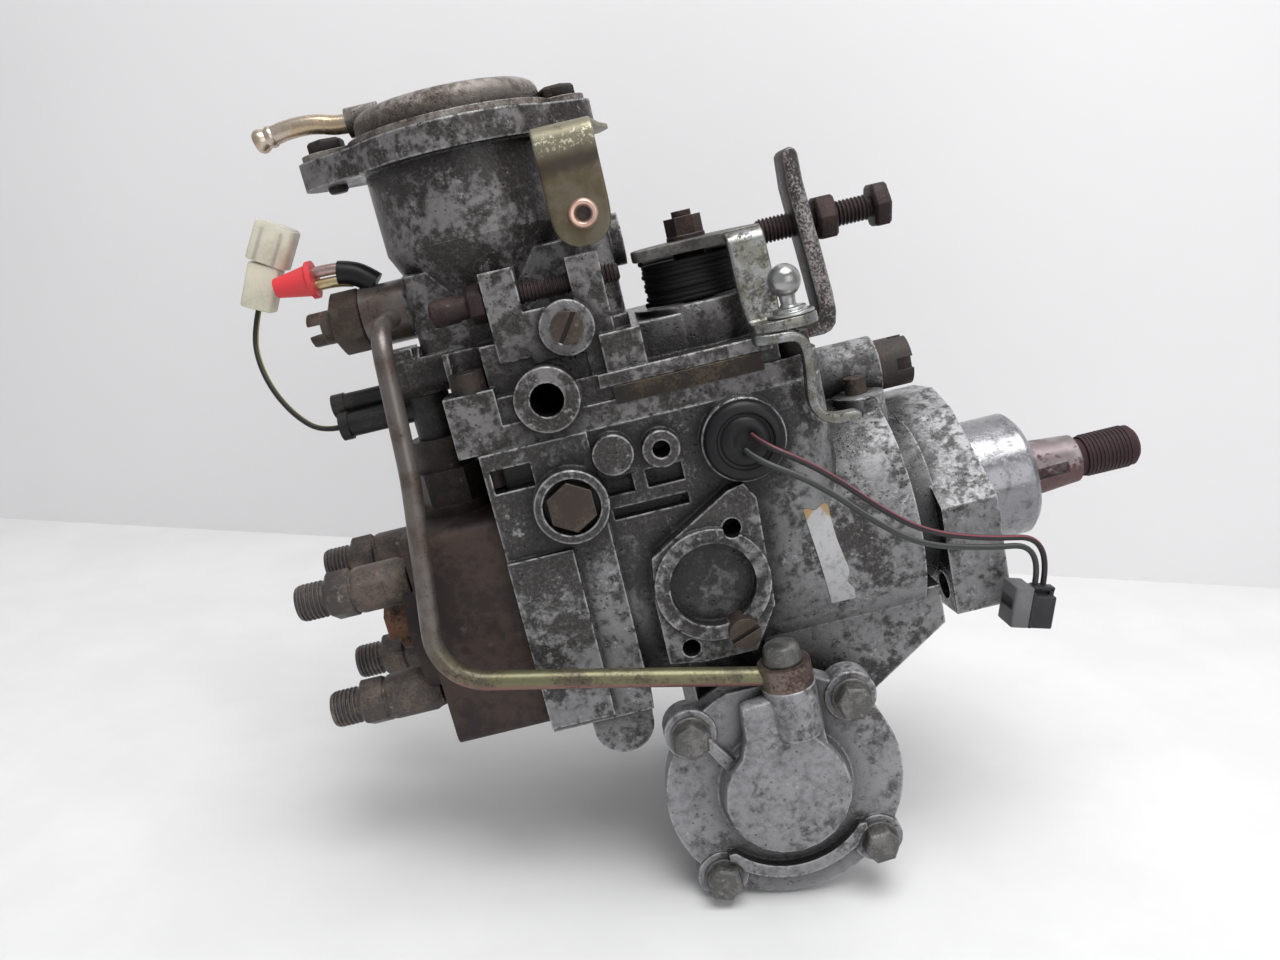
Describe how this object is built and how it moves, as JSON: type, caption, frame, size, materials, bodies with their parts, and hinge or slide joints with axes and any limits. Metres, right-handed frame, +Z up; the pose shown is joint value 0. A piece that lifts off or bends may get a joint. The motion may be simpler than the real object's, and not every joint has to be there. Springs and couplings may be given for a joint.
{
  "type": "distributor-type diesel injection pump",
  "caption": "Engine-driven distributor pump that meters and times diesel for each cylinder, with a boost compensator, governor levers and pipes",
  "frame": {"origin": "on the drive shaft's axis, at the front face of the mounting flange", "axes": "+X along the drive shaft out of its driven end, +Z up through the governor cover and the compensator, +Y away from the side that the picture shows"},
  "size_m": [0.283, 0.1073, 0.2654],
  "materials": {
    "cast_aluminium": "cast aluminium, stained mid grey with fine light pits",
    "cap_casting": "dark brown-grey pitted casting",
    "head_steel": "steel with an even brown film of rust",
    "turned_steel": "bright turned steel",
    "dark_bolts": "phosphated steel, browned",
    "holder_steel": "grey-brown steel with cut threads",
    "rusty_steel": "dark rusted steel with bright worn edges",
    "zinc_plated": "yellow zinc plating, worn grey",
    "lever_steel": "worn zinc-plated pressing",
    "spring_steel": "blackened spring wire",
    "banjo_steel": "copper-brown plated steel",
    "bronze": "plain bearing bronze",
    "black_rubber": "matt black rubber",
    "white_nylon": "milky nylon",
    "grey_plastic": "grey and black moulding",
    "red_plastic": "red cap",
    "wire_black": "black wire with a yellow stripe",
    "wire_pink": "black wire with a red stripe",
    "wire_grey": "grey wire",
    "tube_plastic": "thin plastic tubes in a black sleeve",
    "gasket": "gold-brown strip",
    "black_cap": "black notched cap, browned"
  },
  "bodies": {
    "pump": {"pump_housing": "cast_aluminium", "governor_cover": "cast_aluminium", "gasket_plate": "gasket", "compensator_body": "cast_aluminium", "compensator_cap": "cap_casting", "timer_cover": "cast_aluminium", "timer_end_cover": "cast_aluminium", "distributor_head": "head_steel", "centre_plug": "dark_bolts", "idle_screw": "rusty_steel", "return_spring": "spring_steel", "stop_bar": "rusty_steel", "max_speed_screw": "rusty_steel", "banjo_bolts": "banjo_steel", "socket_bolts": "dark_bolts", "hexagon_bolts": "dark_bolts", "slotted_screws": "holder_steel", "delivery_valves": "holder_steel", "boost_nipple": "zinc_plated", "strap_bracket": "zinc_plated", "timer_pipe": "zinc_plated", "leak_tubes": "tube_plastic", "tube_cap": "red_plastic", "regulating_valve": "black_cap", "hexagon_plug": "turned_steel", "fuel_cut_solenoid": "dark_bolts", "connector_boots": "black_rubber", "white_connector": "white_nylon", "sensor_grommet": "black_rubber", "sensor_connector": "grey_plastic", "solenoid_wire": "wire_black", "sensor_wire_a": "wire_pink", "sensor_wire_b": "wire_grey", "shaft_bush": "bronze", "shaft_seal": "black_rubber", "feed_pump_liner": "turned_steel", "distributor_barrel": "turned_steel", "plunger_springs": "spring_steel", "timer_spring": "spring_steel", "governor_shaft": "turned_steel", "governor_spring": "spring_steel"},
    "drive": {"drive_shaft": "turned_steel", "feed_pump_rotor": "turned_steel", "governor_drive_gear": "turned_steel", "coupling_disc": "turned_steel"},
    "cam": {"cam_plate": "turned_steel", "plunger": "turned_steel"},
    "governor": {"flyweight_cage": "turned_steel"},
    "flyweight_a": {"flyweight_1": "turned_steel"},
    "flyweight_b": {"flyweight_2": "turned_steel"},
    "flyweight_c": {"flyweight_3": "turned_steel"},
    "flyweight_d": {"flyweight_4": "turned_steel"},
    "sleeve": {"governor_sleeve": "turned_steel"},
    "tension_lever": {"governor_lever": "turned_steel"},
    "spill_sleeve": {"control_sleeve": "turned_steel"},
    "timer_piston": {"timer_piston": "turned_steel"},
    "roller_ring": {"roller_ring": "turned_steel", "cam_rollers": "turned_steel"},
    "throttle": {"lever_shaft": "dark_bolts", "throttle_lever": "lever_steel"}
  },
  "joints": [
    {"name": "shaft_turn", "type": "hinge", "parent": "pump", "child": "drive", "pos_m": [0, 0, 0], "axis": [1, 0, 0], "continuous": true},
    {"name": "cam_stroke", "type": "slide", "parent": "drive", "child": "cam", "axis": [1, 0, 0], "range_m": [0, 0.0022], "stiffness_N_per_m": 4000, "springref_m": -0.002, "deforming": ["plunger_springs"]},
    {"name": "governor_turn", "type": "hinge", "parent": "pump", "child": "governor", "pos_m": [-0.065, 0, 0.052], "axis": [1, 0, 0], "continuous": true},
    {"name": "sleeve_travel", "type": "slide", "parent": "pump", "child": "sleeve", "axis": [-1, 0, 0], "range_m": [0, 0.0013]},
    {"name": "flyweight_a_swing", "type": "hinge", "parent": "governor", "child": "flyweight_a", "pos_m": [-0.0706, 0, 0.0655], "axis": [0, 1, 0], "range_deg": [0, 10.3]},
    {"name": "flyweight_b_swing", "type": "hinge", "parent": "governor", "child": "flyweight_b", "pos_m": [-0.0706, -0.0135, 0.052], "axis": [0, 0, 1], "range_deg": [0, 10.3]},
    {"name": "flyweight_c_swing", "type": "hinge", "parent": "governor", "child": "flyweight_c", "pos_m": [-0.0706, 0, 0.0385], "axis": [0, -1, 0], "range_deg": [0, 10.3]},
    {"name": "flyweight_d_swing", "type": "hinge", "parent": "governor", "child": "flyweight_d", "pos_m": [-0.0706, 0.0135, 0.052], "axis": [0, 0, -1], "range_deg": [0, 10.3]},
    {"name": "lever_swing", "type": "hinge", "parent": "pump", "child": "tension_lever", "pos_m": [-0.113, 0, 0.022], "axis": [0, -1, 0], "range_deg": [0, 2.5], "deforming": ["governor_spring"]},
    {"name": "spill_travel", "type": "slide", "parent": "pump", "child": "spill_sleeve", "axis": [1, 0, 0], "range_m": [0, 0.0006]},
    {"name": "timer_travel", "type": "slide", "parent": "pump", "child": "timer_piston", "axis": [0, 1, 0], "range_m": [0, 0.007], "stiffness_N_per_m": 3000, "springref_m": -0.003, "deforming": ["timer_spring"]},
    {"name": "ring_turn", "type": "hinge", "parent": "pump", "child": "roller_ring", "pos_m": [-0.085, 0, 0], "axis": [1, 0, 0], "range_deg": [0, 6.3]},
    {"name": "throttle_turn", "type": "hinge", "parent": "pump", "child": "throttle", "pos_m": [-0.076, -0.012, 0.0985], "axis": [0, 0, 1], "range_deg": [0, 32], "stiffness_Nm_per_rad": 0.6, "springref_deg": -20.05}
  ],
  "couplings": [
    {"joint": "governor_turn", "follows": "shaft_turn", "ratio": -1.6087},
    {"joint": "flyweight_a_swing", "follows": "sleeve_travel", "rad_per_m": 134},
    {"joint": "flyweight_b_swing", "follows": "sleeve_travel", "rad_per_m": 134},
    {"joint": "flyweight_c_swing", "follows": "sleeve_travel", "rad_per_m": 134},
    {"joint": "flyweight_d_swing", "follows": "sleeve_travel", "rad_per_m": 134},
    {"joint": "lever_swing", "follows": "sleeve_travel", "rad_per_m": 33.3},
    {"joint": "spill_travel", "follows": "sleeve_travel", "ratio": 0.45},
    {"joint": "ring_turn", "follows": "timer_travel", "rad_per_m": 15.38}
  ]
}
